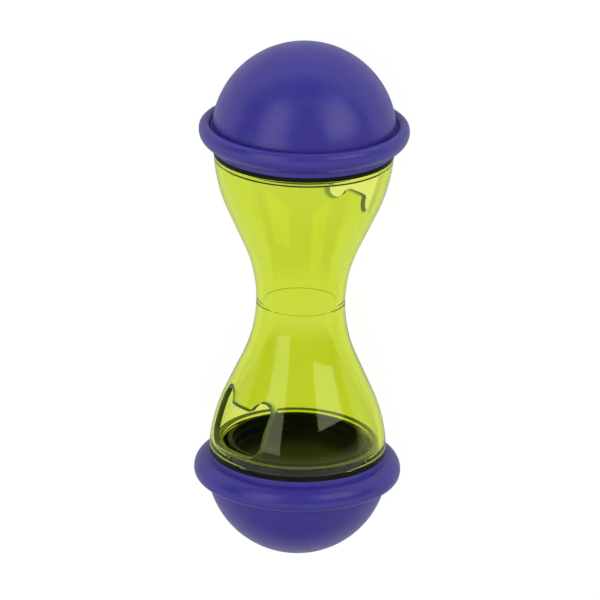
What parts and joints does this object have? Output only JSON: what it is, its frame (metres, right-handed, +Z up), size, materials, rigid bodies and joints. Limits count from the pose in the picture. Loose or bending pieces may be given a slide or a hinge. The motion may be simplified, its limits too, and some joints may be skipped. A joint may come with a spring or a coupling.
{
  "type": "treat dispenser",
  "caption": "Hourglass treat dispenser for pets: see-through tinted shell with a narrow waist, an eared cut-out in the side of each bell, and a screw-off rubber dome with a fat bead on each end.",
  "frame": {"origin": "on the floor under the middle of the waist, the part lying on its two beads", "axes": "+Y along the toy's long axis towards the end shown at the top of the picture, +Z up from the floor, +X to the right in the picture"},
  "size_m": [0.076, 0.1948, 0.076],
  "materials": {
    "clear_lime": "clear tinted gloss",
    "black_plastic": "smooth black",
    "purple_rubber": "satin rubber"
  },
  "bodies": {
    "shell": {"upper_bell": "clear_lime", "lower_bell": "clear_lime"},
    "upper_end": {"upper_lid": "black_plastic", "upper_cap": "purple_rubber"},
    "lower_end": {"lower_lid": "black_plastic", "lower_cap": "purple_rubber"}
  },
  "joints": [
    {"name": "upper_end_slide", "type": "slide", "parent": "shell", "child": "upper_end", "axis": [0, 1, 0], "range_m": [0, 0.04]},
    {"name": "lower_end_slide", "type": "slide", "parent": "shell", "child": "lower_end", "axis": [0, -1, 0], "range_m": [0, 0.04]}
  ]
}
